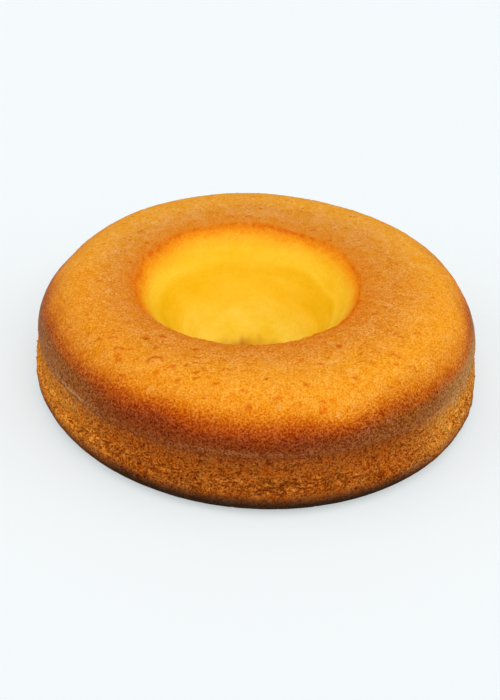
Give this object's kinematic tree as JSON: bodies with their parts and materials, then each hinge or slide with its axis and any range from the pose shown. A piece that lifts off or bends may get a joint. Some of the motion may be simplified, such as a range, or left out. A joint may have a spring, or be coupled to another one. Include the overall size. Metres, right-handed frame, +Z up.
{
  "type": "corn cake",
  "caption": "Ring-shaped corn cake with a domed golden crust, browned edge, rough crumb side and a smooth yellow funnel-shaped hole, resting on a flat base.",
  "frame": {"origin": "centre of the footprint's box, on the surface the cake stands on", "axes": "+Z up through the hole; the side seen in the picture faces -Y, and the hole's rim leans towards -X"},
  "size_m": [0.2576, 0.2552, 0.0652],
  "materials": {
    "crust": "baked cake crumb and crust, matt with a faint sheen on the browned edge"
  },
  "bodies": {
    "root": {"ring_cake": "crust"}
  },
  "joints": []
}
